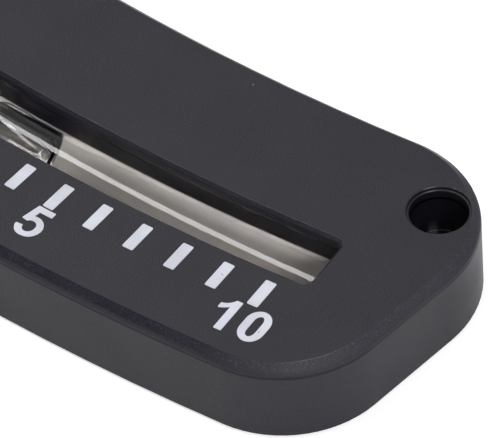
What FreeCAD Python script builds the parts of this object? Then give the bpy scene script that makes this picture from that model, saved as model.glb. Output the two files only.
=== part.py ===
import FreeCAD, Part
import math
import os
import Sketcher
from FreeCAD import Placement, Rotation, Vector

# A tube clinometer: an arc-shaped plate with a bent glass tube in a window, a scale of one mark
# a degree, and a ball that rolls to the lowest place of the tube. It lies on its back. X runs
# along the plate, Y towards the centre of the arc, Z out of the face. The origin is on the back
# face, under the tube's centre line at the zero mark. Lengths are in mm and angles in degrees.

doc = FreeCAD.newDocument("tube_clinometer")
sheet = doc.addObject("Spreadsheet::Sheet", "size")

# The driving dimensions.
DIMENSIONS = [
    # the arc and its scale
    ("arc_radius", 341.8, "radius of the tube's centre line"),
    ("last_mark_angle", 10.0, "last mark on either side of zero"),
    ("mark_step_angle", 1.0, "from mark to mark"),
    # the plate
    ("inner_reach", 24.3, "from the tube's centre line to the plate's inner arc"),
    ("outer_reach", 19.9, "from the tube's centre line to the plate's outer arc"),
    ("end_reach", 16.647, "from the last mark's place to the plate's end, along X"),
    ("roof", 1.2, "face over the hidden ends of the tube"),
    ("inner_corner", 15.6, "corner radius beside the inner arc"),
    ("outer_corner", 14.5, "corner radius beside the outer arc"),
    ("face_chamfer", 1.25, "chamfer of the edge around the face"),
    ("face_shoulder", 1.3, "rounding between that chamfer and the wall"),
    ("back_edge", 0.4, "chamfer of the edge around the back"),
    ("outer_wall", 2.6, "wall around the cells"),
    ("face_wall", 2.2, "wall between the cells and the face"),
    ("channel_wall", 1.8, "wall beside the tube's channel"),
    ("rib_wall", 1.2, "ribs between the cells"),
    ("cell_count", 8, "cells in each of the two rows"),
    # the window over the tube
    ("window_past_mark", 3.9, "from the last mark to the window's end"),
    ("window_corner", 1.0, "corner radius of the window"),
    ("window_chamfer", 0.42, "chamfer of the window's edge"),
    ("window_shoulder", 0.3, "rounding between that chamfer and the window's wall"),
    ("crease", 0.1, "rounding between that chamfer and the face"),
    # the glass tube and its filling
    ("tube_radius", 4.0, "outside radius"),
    ("tube_wall", 1.35, "wall of the tube"),
    ("tube_gap", 0.1, "clearance beside and over the tube"),
    ("tube_hidden", 4.0, "tube under the face beyond either end of the window"),
    ("tube_lip", 0.2, "fire-polished rounding of its ends"),
    ("ball_radius", 2.35, "indicator ball"),
    ("ball_gap", 0.1, "clearance between the ball and the lowest glass"),
    ("bubble_radius", 2.47, "air bubble"),
    ("bubble_half", 6.4, "half length of the air bubble"),
    ("bubble_gap", 0.12, "film of liquid between the bubble and the highest glass"),
    ("bubble_angle", 2.73, "place of the bubble on the scale"),
    ("film", 0.04, "clearance between the liquid and what it surrounds"),
    # what holds the tube
    ("plug_stem", 3.0, "length of the end plug inside the tube"),
    ("plug_flange", 0.8, "thickness of its flange"),
    ("plug_rim", 0.3, "step from the tube's outside in to the flange"),
    ("cushion_length", 1.2, "end cushion"),
    ("end_gap", 0.1, "clearance at each end of the cushion"),
    ("reflector_gap", 0.15, "clearance between the reflector and the tube or the channel"),
    ("reflector_wall", 0.9, "wall of the reflector beside the tube"),
    ("reflector_floor", 0.5, "wall of the reflector behind the tube"),
    ("trough_drop", 0.6, "from the tube down to the flat floor of the reflector's trough"),
    ("trough_corner", 1.0, "corner radius along the trough's floor"),
    # the back cover and its screws
    ("cover_thickness", 1.6, "back cover"),
    ("cover_rim", 1.5, "housing left between the cover and the two arcs"),
    ("cover_past_mark", 3.3, "from the last mark to the end of the cover's broad part"),
    ("cover_ledge", 1.5, "ledge under the cover at either end of the cells"),
    ("tongue_lap", 2.2, "lap of the cover's tongues over the housing around the channel"),
    ("cover_corner", 2.5, "corner radius of the cover's recess"),
    ("cover_gap", 0.12, "clearance around the cover"),
    ("seat_gap", 0.02, "clearance between the cover and what it closes on"),
    ("screw_radius", 1.0, "shank of a cover screw"),
    ("screw_length", 5.0, "its whole length"),
    ("screw_gap", 0.03, "clearance of the shank in its boss"),
    ("screw_hole_gap", 0.15, "clearance of the shank in the cover"),
    ("head_radius", 1.85, "countersunk head"),
    ("head_height", 0.95, "height of the head"),
    ("head_sink", 0.1, "depth of the head below the back face"),
    ("drive_width", 0.45, "width of the cross recess"),
    ("drive_length", 2.0, "length of each of its bars"),
    ("drive_depth", 0.6, "depth of the recess"),
    ("boss_wall", 1.4, "wall of a screw boss"),
    ("screw_cell_count", 3, "cells between neighbouring screws of a row"),
    # the mounting holes
    ("mount_from_end", 8.25, "from a mounting hole's axis to the plate's end"),
    ("mount_from_arc", 9.79, "from its axis to the plate's inner arc"),
    ("mount_radius", 2.25, "clearance hole for a 4 mm screw"),
    ("counterbore_radius", 4.0, "mouth of the counterbore for a cylinder head"),
    ("counterbore_depth", 7.2, "depth of the counterbore below the face"),
    ("counterbore_edge", 0.2, "rounding of the mouth's edge and of the step"),
    ("counterbore_step", 0.3, "step in to the counterbore's wall"),
    ("counterbore_step_depth", 0.35, "depth of the step below the face"),
    ("counterbore_foot", 0.15, "rounding at the counterbore's floor"),
    # the printed scale
    ("ink", 0.05, "thickness of the print"),
    ("mark_reach", 5.95, "from the tube's centre line to the near end of a mark"),
    ("mark_length", 4.5, "length of a mark"),
    ("mark_width", 1.55, "width of a mark"),
    ("mark_corner", 0.2, "corner radius of a mark"),
    ("numeral_reach", 13.3, "from the tube's centre line to the middle of the numerals"),
    ("numeral_height", 5.2, "height of a numeral"),
    ("numeral_corner", 0.12, "corner radius of its strokes' ends"),
    ("overrun", 1.0, "how far a cut runs past the face that it opens"),
]
# What follows from them.
DERIVED = [
    ("degrees_per_mm", "180 / pi / arc_radius", "turn for each mm along the tube"),
    ("inner_arc", "arc_radius - inner_reach", "radius of the plate's inner arc"),
    ("outer_arc", "arc_radius + outer_reach", "radius of the plate's outer arc"),
    ("half_length", "arc_radius * sin(last_mark_angle) + end_reach", "from the middle to either end"),
    ("bore_radius", "tube_radius - tube_wall", "bore of the glass tube"),
    ("slot_half", "tube_radius + tube_gap", "half width of the window and the channel"),
    ("reflector_half", "tube_radius + reflector_gap + reflector_wall", "half width of the reflector"),
    ("nest_half", "reflector_half + reflector_gap", "half width of its channel"),
    ("trough_floor", "cover_thickness + reflector_floor", "height of the trough's floor"),
    ("tube_height", "trough_floor + trough_drop + tube_radius", "of its centre line"),
    ("channel_top", "tube_height + tube_radius + tube_gap", "height of the channel's roof"),
    ("plate_thickness", "channel_top + roof", "back face to front face"),
    ("window_angle", "last_mark_angle + window_past_mark * degrees_per_mm", "half angle of the window"),
    ("tube_angle", "window_angle + tube_hidden * degrees_per_mm", "half angle of the tube"),
    ("liquid_angle", "tube_angle - (plug_stem + film) * degrees_per_mm", "half angle of the liquid"),
    ("cushion_angle", "tube_angle + (plug_flange + end_gap) * degrees_per_mm", "where a cushion starts"),
    ("channel_angle", "cushion_angle + (cushion_length + end_gap) * degrees_per_mm", "of the channel"),
    ("cover_angle", "last_mark_angle + cover_past_mark * degrees_per_mm", "of the cover's broad part"),
    ("cells_angle", "cover_angle - cover_ledge * degrees_per_mm", "half angle of the rows of cells"),
    ("tongue_angle", "channel_angle + tongue_lap * degrees_per_mm", "half angle of the tongues"),
    ("tongue_half", "nest_half + tongue_lap", "half width of the tongues"),
    ("inner_row_low", "inner_arc + outer_wall", "row of cells beside the inner arc"),
    ("inner_row_high", "arc_radius - nest_half - channel_wall", "the same, beside the channel"),
    ("outer_row_low", "arc_radius + nest_half + channel_wall", "row beside the outer arc"),
    ("outer_row_high", "outer_arc - outer_wall", "the same, beside the outer wall"),
    ("counterbore_wall", "counterbore_radius - counterbore_step", "radius of the counterbore's wall"),
    ("counterbore_floor", "plate_thickness - counterbore_depth", "height of its floor"),
    ("counterbore_ledge", "plate_thickness - counterbore_step_depth", "height of its step"),
    ("ball_height", "tube_height - bore_radius + ball_radius + ball_gap", "of the ball's centre"),
    ("bubble_height", "tube_height + bore_radius - bubble_radius - bubble_gap", "of the bubble's axis"),
    ("mount_out", "half_length - mount_from_end", "mounting holes, from the middle along X"),
    ("mount_in", "sqrt((inner_arc + mount_from_arc)^2 - mount_out^2)", "and from the arc's centre along Y"),
]
for row, (name, value, note) in enumerate(DIMENSIONS + DERIVED, 1):
    sheet.set(f"A{row}", name)
    sheet.set(f"B{row}", f"={value}" if isinstance(value, str) else str(value))
    sheet.set(f"C{row}", note)
    sheet.setAlias(f"B{row}", name)
doc.recompute()


def number(formula):
    """The value that a formula of the sheet has now."""
    return float(sheet.evalExpression(formula))


def around_arc(turn):
    """Placement of a piece drawn about the arc's centre, with its local X towards an angle."""
    return f"placement(vector(0; size.arc_radius; 0); rotation(vector(0; 0; 1); {turn} - 90))"


def new_body(label, turn="0"):
    """A body whose own X runs from the arc's centre to the given angle of the scale."""
    body = doc.addObject("PartDesign::Body", label)
    body.Label = label
    body.AllowCompound = True
    body.setExpression("Placement", around_arc(turn))
    return body


def new_sketch(body, role, name, height=None, offset=None):
    """A sketch on one of the body's own planes, lifted to a height or set at an offset."""
    sketch = body.newObject("Sketcher::SketchObject", name)
    plane = [item for item in body.Origin.OriginFeatures if item.Role == role][0]
    sketch.AttachmentSupport = [(plane, "")]
    sketch.MapMode = "FlatFace"
    if height:
        offset = f"placement(vector(0; 0; {height}); rotation(vector(0; 0; 1); 0))"
    if offset:
        sketch.setExpression("AttachmentOffset", offset)
    return sketch


def constrain(sketch, formula, *terms):
    """Adds a constraint whose value follows a formula."""
    value = number(formula)
    if terms[0] == "Angle":
        value = math.radians(value)
    index = sketch.addConstraint(Sketcher.Constraint(*terms, value))
    sketch.setExpression(f"Constraints[{index}]", formula)


def fix(sketch, *terms):
    """Adds a constraint that has no value."""
    sketch.addConstraint(Sketcher.Constraint(*terms))


def arc(centre, radius, start, end):
    """An arc in the sketch's plane, drawn from the start angle to the end angle."""
    circle = Part.Circle(Vector(*centre, 0), Vector(0, 0, 1), radius)
    return Part.ArcOfCircle(circle, start, end)


def line(start, end):
    return Part.LineSegment(Vector(*start, 0), Vector(*end, 0))


def draw_circle(sketch, x, y, radius):
    """A circle with its centre and radius from formulas."""
    place = (number(x), number(y))
    circle = Part.Circle(Vector(*place, 0), Vector(0, 0, 1), number(radius))
    item = sketch.addGeometry(circle, False)
    constrain(sketch, x, "DistanceX", -1, 1, item, 3)
    constrain(sketch, y, "DistanceY", -1, 1, item, 3)
    constrain(sketch, radius, "Radius", item)


def draw_sector(sketch, inner, outer, start, end):
    """A cell between two arcs about the origin and two lines through it."""
    r_in, r_out = number(inner), number(outer)
    a, b = math.radians(number(start)), math.radians(number(end))

    def at(radius, angle):
        return (radius * math.cos(angle), radius * math.sin(angle))

    low = sketch.addGeometry(arc((0, 0), r_in, a, b), False)
    high = sketch.addGeometry(arc((0, 0), r_out, a, b), False)
    first = sketch.addGeometry(line(at(r_in, a), at(r_out, a)), False)
    last = sketch.addGeometry(line(at(r_in, b), at(r_out, b)), False)
    for curve in (low, high):
        fix(sketch, "Coincident", curve, 3, -1, 1)
    for side, end_point in ((first, 1), (last, 2)):
        fix(sketch, "Coincident", low, end_point, side, 1)
        fix(sketch, "Coincident", high, end_point, side, 2)
        fix(sketch, "PointOnObject", -1, 1, side)
    constrain(sketch, inner, "Radius", low)
    constrain(sketch, outer, "Radius", high)
    constrain(sketch, start, "Angle", first)
    constrain(sketch, end, "Angle", last)


def draw_arc_plate(sketch, inner, outer, inner_corner, outer_corner, turn=None, reach=None):
    """A plate between two arcs about the origin, with straight ends and four round corners.

    With a turn, each end lies on a line through the origin at that angle. With a reach, each end
    is parallel to the sketch's X, at that distance from it."""
    r_in, r_out = number(inner), number(outer)
    c_in, c_out = number(inner_corner), number(outer_corner)
    angle = math.radians(number(turn)) if turn else 0.0
    distance = number(reach) if reach else 0.0
    along = Vector(math.cos(angle), math.sin(angle), 0)
    across = Vector(-math.sin(angle), math.cos(angle), 0)

    def corner_centre(from_origin, corner):
        side = distance - corner
        return across * side + along * math.sqrt(from_origin**2 - side**2)

    a = corner_centre(r_in + c_in, c_in)
    b = corner_centre(r_out - c_out, c_out)
    a_angle, b_angle = math.atan2(a.y, a.x), math.atan2(b.y, b.x)
    a_end, b_end = a + across * c_in, b + across * c_out
    quarter, half = math.pi / 2, math.pi
    curves = [
        arc((0, 0), r_in, -a_angle, a_angle),
        arc((a.x, a.y), c_in, quarter + angle, half + a_angle),
        line((a_end.x, a_end.y), (b_end.x, b_end.y)),
        arc((b.x, b.y), c_out, b_angle, quarter + angle),
        arc((0, 0), r_out, -b_angle, b_angle),
        arc((b.x, -b.y), c_out, -quarter - angle, -b_angle),
        line((a_end.x, -a_end.y), (b_end.x, -b_end.y)),
        arc((a.x, -a.y), c_in, half - a_angle, 3 * quarter - angle),
    ]
    low, corner_a, right, corner_b, high, corner_c, left, corner_d = sketch.addGeometry(curves, False)
    joints = [
        (low, 2, corner_a, 2),
        (corner_a, 1, right, 1),
        (right, 2, corner_b, 2),
        (corner_b, 1, high, 2),
        (high, 1, corner_c, 2),
        (corner_c, 1, left, 2),
        (left, 1, corner_d, 2),
        (corner_d, 1, low, 1),
    ]
    for joint in joints:
        fix(sketch, "Tangent", *joint)
    for curve in (low, high):
        fix(sketch, "Coincident", curve, 3, -1, 1)
    constrain(sketch, inner, "Radius", low)
    constrain(sketch, outer, "Radius", high)
    constrain(sketch, inner_corner, "Radius", corner_a)
    constrain(sketch, outer_corner, "Radius", corner_b)
    fix(sketch, "Equal", corner_a, corner_d)
    fix(sketch, "Equal", corner_b, corner_c)
    for side, sign in ((right, ""), (left, "-")):
        if turn:
            constrain(sketch, f"{sign}({turn})", "Angle", side)
            fix(sketch, "PointOnObject", -1, 1, side)
        else:
            fix(sketch, "Horizontal", side)
            constrain(sketch, reach, "Distance", -1, 1, side)


def draw_rectangle(sketch, left, right, bottom, top):
    """An upright rectangle between four formulas."""
    x0, x1, y0, y1 = number(left), number(right), number(bottom), number(top)
    corners = [(x0, y0), (x1, y0), (x1, y1), (x0, y1)]
    sides = [line(corners[i], corners[(i + 1) % 4]) for i in range(4)]
    base, right_side, top_side, left_side = sketch.addGeometry(sides, False)
    for one, other in ((base, right_side), (right_side, top_side), (top_side, left_side), (left_side, base)):
        fix(sketch, "Coincident", one, 2, other, 1)
    for side in (base, top_side):
        fix(sketch, "Horizontal", side)
    for side in (right_side, left_side):
        fix(sketch, "Vertical", side)
    constrain(sketch, left, "DistanceX", -1, 1, base, 1)
    constrain(sketch, right, "DistanceX", -1, 1, base, 2)
    constrain(sketch, bottom, "DistanceY", -1, 1, base, 1)
    constrain(sketch, top, "DistanceY", -1, 1, top_side, 1)


def draw_rounded_bar(sketch, left, right, half, corner):
    """A bar along the sketch's X between two formulas, even about that axis, with round corners."""
    x0, x1, h, r = number(left), number(right), number(half), number(corner)
    quarter = math.pi / 2
    curves = [
        line((x0 + r, -h), (x1 - r, -h)),
        arc((x1 - r, r - h), r, -quarter, 0),
        line((x1, r - h), (x1, h - r)),
        arc((x1 - r, h - r), r, 0, quarter),
        line((x1 - r, h), (x0 + r, h)),
        arc((x0 + r, h - r), r, quarter, 2 * quarter),
        line((x0, h - r), (x0, r - h)),
        arc((x0 + r, r - h), r, 2 * quarter, 3 * quarter),
    ]
    items = sketch.addGeometry(curves, False)
    for index, item in enumerate(items):
        fix(sketch, "Tangent", item, 2, items[(index + 1) % len(items)], 1)
    base, far, top, near = items[0::2]
    first, *others = items[1::2]
    for bow in others:
        fix(sketch, "Equal", first, bow)
    for side in (base, top):
        fix(sketch, "Horizontal", side)
    for side in (far, near):
        fix(sketch, "Vertical", side)
    constrain(sketch, corner, "Radius", first)
    constrain(sketch, right, "DistanceX", -1, 1, far, 1)
    constrain(sketch, left, "DistanceX", -1, 1, near, 1)
    constrain(sketch, half, "DistanceY", -1, 1, top, 1)
    constrain(sketch, half, "DistanceY", base, 1, -1, 1)


def draw_half_capsule(sketch, radius, half):
    """Half the outline of a capsule along the sketch's Y, closed by a line on that axis."""
    r, straight = number(radius), number(half) - number(radius)
    quarter = math.pi / 2
    curves = [
        arc((0, straight), r, 0, quarter),
        line((r, -straight), (r, straight)),
        arc((0, -straight), r, -quarter, 0),
        line((0, -straight - r), (0, straight + r)),
    ]
    top, side, bottom, axis = sketch.addGeometry(curves, False)
    fix(sketch, "Tangent", top, 1, side, 2)
    fix(sketch, "Tangent", bottom, 2, side, 1)
    fix(sketch, "Coincident", top, 2, axis, 2)
    fix(sketch, "Coincident", bottom, 1, axis, 1)
    for curve in (top, bottom):
        fix(sketch, "PointOnObject", curve, 3, -2)
    fix(sketch, "PointOnObject", axis, 1, -2)
    fix(sketch, "PointOnObject", axis, 2, -2)
    constrain(sketch, radius, "Radius", top)
    constrain(sketch, f"({half}) - ({radius})", "DistanceY", -1, 1, top, 3)
    constrain(sketch, f"({radius}) - ({half})", "DistanceY", -1, 1, bottom, 3)


def add(body, kind, name, sketch, **formulas):
    """Adds a feature made from a sketch, with its sizes from formulas."""
    feature = body.newObject(f"PartDesign::{kind}", name)
    feature.Profile = sketch
    sketch.Visibility = False
    for key, formula in formulas.items():
        feature.setExpression(key, formula)
    return feature


def pad(body, name, sketch, length):
    feature = add(body, "Pad", name, sketch, Length=length)
    doc.recompute()
    return feature


def pocket_up(body, name, sketch, depth):
    """Cuts from the sketch towards +Z, and checks that the body got smaller."""
    before = body.Shape.Volume
    feature = add(body, "Pocket", name, sketch, Length=depth)
    feature.Reversed = True
    doc.recompute()
    if body.Shape.Volume >= before:
        raise RuntimeError(f"{name} cuts nothing")
    return feature


def revolve(body, name, sketch, angle):
    """Turns a sketch about its own upright axis, to both sides alike."""
    feature = body.newObject("PartDesign::Revolution", name)
    feature.Profile = sketch
    feature.ReferenceAxis = (sketch, ["V_Axis"])
    feature.Midplane = True
    feature.setExpression("Angle", angle)
    sketch.Visibility = False
    doc.recompute()
    return feature


def groove(body, name, sketch, angle):
    before = body.Shape.Volume
    feature = body.newObject("PartDesign::Groove", name)
    feature.Profile = sketch
    feature.ReferenceAxis = (sketch, ["V_Axis"])
    feature.Midplane = True
    feature.setExpression("Angle", angle)
    sketch.Visibility = False
    doc.recompute()
    if body.Shape.Volume >= before:
        raise RuntimeError(f"{name} cuts nothing")
    return feature


def soften(body, kind, name, base, picks, **formulas):
    """Adds a fillet or a chamfer to the base's edges that the test picks."""
    names = [f"Edge{i}" for i, edge in enumerate(base.Shape.Edges, 1) if picks(edge)]
    if not names:
        raise RuntimeError(f"{name} finds no edge")
    feature = body.newObject(f"PartDesign::{kind}", name)
    feature.Base = (base, names)
    for key, formula in formulas.items():
        feature.setExpression(key, formula)
    doc.recompute()
    return feature


def level(edge, height):
    """Whether an edge lies flat at a height."""
    box = edge.BoundBox
    slack = number("size.film")
    return abs(box.ZMin - height) < slack and abs(box.ZMax - height) < slack


def screw_places():
    """Formulas of the cover screws' places about the arc's centre: two rows of three."""
    places = []
    for row in ("inner", "outer"):
        radius = f"(size.{row}_row_low + size.{row}_row_high) / 2"
        for step in (-1, 0, 1):
            angle = f"({step} * size.screw_cell_count * 2 * size.cells_angle / size.cell_count)"
            places.append((f"{radius} * cos({angle})", f"{radius} * sin({angle})"))
    return places


def draw_screws(sketch, radius):
    for x, y in screw_places():
        draw_circle(sketch, x, y, radius)


def draw_mounts(sketch, radius):
    for sign in ("-", ""):
        draw_circle(sketch, "size.mount_in", f"{sign}size.mount_out", radius)


def draw_counterbore(sketch):
    """Half the outline of a counterbore about the sketch's Y, from its floor to over the face."""
    wall, neck = number("size.counterbore_wall"), number("size.counterbore_radius")
    floor, ledge = number("size.counterbore_floor"), number("size.counterbore_ledge")
    top, over = number("size.plate_thickness"), number("size.plate_thickness + size.overrun")
    edge, foot = number("size.counterbore_edge"), number("size.counterbore_foot")
    quarter = math.pi / 2
    curves = [
        line((0, floor), (wall - foot, floor)),
        arc((wall - foot, floor + foot), foot, -quarter, 0),
        line((wall, floor + foot), (wall, ledge - edge)),
        arc((wall + edge, ledge - edge), edge, quarter, 2 * quarter),
        line((wall + edge, ledge), (neck, ledge)),
        line((neck, ledge), (neck, top - edge)),
        arc((neck + edge, top - edge), edge, quarter, 2 * quarter),
        line((neck + edge, top), (neck + edge, over)),
        line((neck + edge, over), (0, over)),
        line((0, over), (0, floor)),
    ]
    base, low_bow, side, mid_bow, shelf, upper, lip, riser, lid, axis = sketch.addGeometry(curves, False)
    for joint in (
        (base, 2, low_bow, 1), (low_bow, 2, side, 1), (side, 2, mid_bow, 2), (mid_bow, 1, shelf, 1),
        (upper, 2, lip, 2),
    ):
        fix(sketch, "Tangent", *joint)
    for joint in (
        (shelf, 2, upper, 1), (lip, 1, riser, 1), (riser, 2, lid, 1), (lid, 2, axis, 1), (axis, 2, base, 1),
    ):
        fix(sketch, "Coincident", *joint)
    for flat in (base, shelf, lid):
        fix(sketch, "Horizontal", flat)
    for upright in (side, upper, riser):
        fix(sketch, "Vertical", upright)
    fix(sketch, "PointOnObject", axis, 1, -2)
    fix(sketch, "PointOnObject", axis, 2, -2)
    fix(sketch, "Equal", mid_bow, lip)
    constrain(sketch, "size.counterbore_foot", "Radius", low_bow)
    constrain(sketch, "size.counterbore_edge", "Radius", mid_bow)
    constrain(sketch, "size.counterbore_wall", "DistanceX", -1, 1, side, 1)
    constrain(sketch, "size.counterbore_radius", "DistanceX", -1, 1, upper, 1)
    constrain(sketch, "size.counterbore_radius + size.counterbore_edge", "DistanceX", -1, 1, riser, 1)
    constrain(sketch, "size.counterbore_floor", "DistanceY", -1, 1, base, 1)
    constrain(sketch, "size.counterbore_ledge", "DistanceY", -1, 1, shelf, 1)
    constrain(sketch, "size.plate_thickness", "DistanceY", -1, 1, riser, 1)
    constrain(sketch, "size.plate_thickness + size.overrun", "DistanceY", -1, 1, lid, 1)


def draw_cover(sketch, part, gap):
    """The outline of the cover's broad part or of its tongues, with a gap taken off all round."""
    if part == "broad":
        inner, outer = "size.inner_arc + size.cover_rim", "size.outer_arc - size.cover_rim"
        turn = "size.cover_angle"
    else:
        inner, outer = "size.arc_radius - size.tongue_half", "size.arc_radius + size.tongue_half"
        turn = "size.tongue_angle"
    corner = f"size.cover_corner - {gap}"
    turn = f"{turn} - {gap} * size.degrees_per_mm"
    draw_arc_plate(sketch, f"{inner} + {gap}", f"{outer} - {gap}", corner, corner, turn=turn)


def ring_profile(body, name, radius):
    """A round section on the tube's centre line."""
    sketch = new_sketch(body, "XZ_Plane", name)
    draw_circle(sketch, "size.arc_radius", "size.tube_height", radius)
    return sketch


def front_housing():
    """The moulded plate: face, window, channel for the tube, cored back and mounting bosses."""
    body = new_body("front_housing")
    outline = new_sketch(body, "XY_Plane", "housing_outline")
    draw_arc_plate(
        outline, "size.inner_arc", "size.outer_arc", "size.inner_corner", "size.outer_corner",
        reach="size.half_length",
    )
    block = pad(body, "housing_block", outline, "size.plate_thickness")
    top = number("size.plate_thickness")
    shoulder = number("size.plate_thickness - size.face_chamfer")

    def at_top(edge):
        return level(edge, top)

    def at_shoulder(edge):
        return level(edge, shoulder)

    def at_back(edge):
        return level(edge, 0)

    eased = soften(body, "Chamfer", "face_chamfer", block, at_top, Size="size.face_chamfer")
    eased = soften(body, "Fillet", "shoulder_rounding", eased, at_shoulder, Radius="size.face_shoulder")
    soften(body, "Chamfer", "back_chamfer", eased, at_back, Size="size.back_edge")

    for part in ("broad", "tongue"):
        recess = new_sketch(body, "XY_Plane", f"recess_{part}")
        draw_cover(recess, part, "0")
        pocket_up(body, f"cover_recess_{part}", recess, "size.cover_thickness")

    cells = new_sketch(body, "XY_Plane", "cell_outlines")
    count = int(number("size.cell_count"))
    for row in ("inner", "outer"):
        rib = "size.rib_wall / 2 * size.degrees_per_mm"
        for cell in range(count):
            start = f"({cell} * 2 / size.cell_count - 1) * size.cells_angle + {rib}"
            end = f"({cell + 1} * 2 / size.cell_count - 1) * size.cells_angle - {rib}"
            draw_sector(cells, f"size.{row}_row_low", f"size.{row}_row_high", start, end)
    pocket_up(body, "cells", cells, "size.plate_thickness - size.face_wall")

    bosses = new_sketch(body, "XY_Plane", "boss_outlines", "size.cover_thickness")
    draw_screws(bosses, "size.screw_radius + size.boss_wall")
    pad(body, "screw_bosses", bosses, "size.plate_thickness - size.face_wall / 2 - size.cover_thickness")
    pilots = new_sketch(body, "XY_Plane", "pilot_holes")
    draw_screws(pilots, "size.screw_radius + size.screw_gap")
    pocket_up(body, "pilot_holes_cut", pilots, "size.screw_length + size.screw_radius")

    nest = new_sketch(body, "XY_Plane", "nest_outline")
    draw_sector(
        nest, "size.arc_radius - size.nest_half", "size.arc_radius + size.nest_half",
        "-size.channel_angle", "size.channel_angle",
    )
    pocket_up(body, "reflector_nest", nest, "size.tube_height")
    channel = new_sketch(body, "XY_Plane", "channel_outline")
    draw_sector(
        channel, "size.arc_radius - size.slot_half", "size.arc_radius + size.slot_half",
        "-size.channel_angle", "size.channel_angle",
    )
    pocket_up(body, "tube_channel", channel, "size.channel_top")
    window = new_sketch(body, "XY_Plane", "window_outline")
    draw_arc_plate(
        window, "size.arc_radius - size.slot_half", "size.arc_radius + size.slot_half",
        "size.window_corner", "size.window_corner", turn="size.window_angle",
    )
    pocket_up(body, "window", window, "size.plate_thickness + size.overrun")

    through = new_sketch(body, "XY_Plane", "mount_holes")
    draw_mounts(through, "size.mount_radius")
    pocket_up(body, "mount_holes_cut", through, "size.plate_thickness")
    for side, sign in (("left", ""), ("right", "-")):
        place = f"vector(size.mount_in; 0; {sign}size.mount_out)"
        section = new_sketch(
            body, "XZ_Plane", f"counterbore_section_{side}",
            offset=f"placement({place}; rotation(vector(0; 0; 1); 0))",
        )
        draw_counterbore(section)
        bored = groove(body, f"counterbore_{side}", section, "360")

    centre = number("size.arc_radius")
    reach = number("size.slot_half + size.window_chamfer + size.film")
    window_shoulder = number("size.plate_thickness - size.window_chamfer")

    def beside_slot(edge, height):
        sides = [abs(math.hypot(v.Point.x, v.Point.y) - centre) for v in edge.Vertexes]
        return level(edge, height) and max(sides) < reach

    bored = soften(
        body, "Chamfer", "window_chamfer", bored, lambda edge: beside_slot(edge, top),
        Size="size.window_chamfer",
    )
    bored = soften(
        body, "Fillet", "window_shoulder", bored, lambda edge: beside_slot(edge, window_shoulder),
        Radius="size.window_shoulder",
    )
    soften(
        body, "Fillet", "window_crease", bored, lambda edge: beside_slot(edge, top),
        Radius="size.crease",
    )
    return body


def back_cover():
    """The plate that closes the back, with a tongue over each end of the channel."""
    body = new_body("back_cover")
    for part in ("broad", "tongue"):
        outline = new_sketch(body, "XY_Plane", f"cover_{part}")
        draw_cover(outline, part, "size.cover_gap")
        pad(body, f"cover_plate_{part}", outline, "size.cover_thickness - size.seat_gap")
    holes = new_sketch(body, "XY_Plane", "cover_holes")
    draw_screws(holes, "size.screw_radius + size.screw_hole_gap")
    drilled = pocket_up(body, "cover_holes_cut", holes, "size.cover_thickness")
    rim_radius = number("size.screw_radius + size.screw_hole_gap")

    def at_screw(edge):
        round_edge = level(edge, 0) and isinstance(edge.Curve, Part.Circle)
        return round_edge and abs(edge.Curve.Radius - rim_radius) < number("size.film")

    soften(
        body, "Chamfer", "countersinks", drilled, at_screw,
        Size="size.head_height",
    )
    return body


def cover_screws():
    """The countersunk screws of the back cover, each with a cross recess."""
    body = new_body("cover_screws")
    heads = new_sketch(body, "XY_Plane", "head_circles", "size.head_sink")
    draw_screws(heads, "size.head_radius")
    cones = pad(body, "heads", heads, "size.head_height")
    cones.setExpression("TaperAngle", "-atan((size.head_radius - size.screw_radius) / size.head_height)")
    doc.recompute()
    shanks = new_sketch(body, "XY_Plane", "shank_circles", "size.head_sink + size.head_height / 2")
    draw_screws(shanks, "size.screw_radius")
    pad(body, "shanks", shanks, "size.screw_length - size.head_height / 2")
    for index, (long_side, short_side) in enumerate((("length", "width"), ("width", "length"))):
        bars = new_sketch(body, "XY_Plane", f"recess_bars_{index}")
        for x, y in screw_places():
            draw_rectangle(
                bars,
                f"{x} - size.drive_{long_side} / 2", f"{x} + size.drive_{long_side} / 2",
                f"{y} - size.drive_{short_side} / 2", f"{y} + size.drive_{short_side} / 2",
            )
        pocket_up(body, f"recess_{index}", bars, "size.head_sink + size.drive_depth")
    return body


def glass_tube():
    body = new_body("glass_tube")
    ring = ring_profile(body, "tube_section", "size.tube_radius")
    draw_circle(ring, "size.arc_radius", "size.tube_height", "size.bore_radius")
    drawn = revolve(body, "tube_wall", ring, "2 * size.tube_angle")
    radii = (number("size.tube_radius"), number("size.bore_radius"))
    slack = number("size.film")

    def at_end(edge):
        return isinstance(edge.Curve, Part.Circle) and min(abs(edge.Curve.Radius - r) for r in radii) < slack

    soften(body, "Fillet", "tube_lips", drawn, at_end, Radius="size.tube_lip")
    return body


def reflector():
    """The pale trough behind the tube, with a flat floor that the light through the tube falls on."""
    body = new_body("reflector")
    section = new_sketch(body, "XZ_Plane", "reflector_section")
    draw_rectangle(
        section, "size.arc_radius - size.reflector_half", "size.arc_radius + size.reflector_half",
        "size.cover_thickness", "size.tube_height - size.reflector_gap",
    )
    revolve(body, "reflector_bar", section, "2 * size.tube_angle")
    trough = new_sketch(body, "XZ_Plane", "trough_section")
    half = "(size.tube_radius + size.reflector_gap)"
    draw_rectangle(
        trough, f"size.arc_radius - {half}", f"size.arc_radius + {half}",
        "size.trough_floor", "size.tube_height",
    )
    cut = groove(body, "trough", trough, "2 * (size.tube_angle + size.overrun * size.degrees_per_mm)")
    low, side = number("size.trough_floor"), number(half)

    def at_floor(edge):
        if not isinstance(edge.Curve, Part.Circle) or not level(edge, low):
            return False
        return abs(abs(edge.Curve.Radius - number("size.arc_radius")) - side) < number("size.film")

    soften(body, "Fillet", "trough_rounding", cut, at_floor, Radius="size.trough_corner")
    return body


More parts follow.
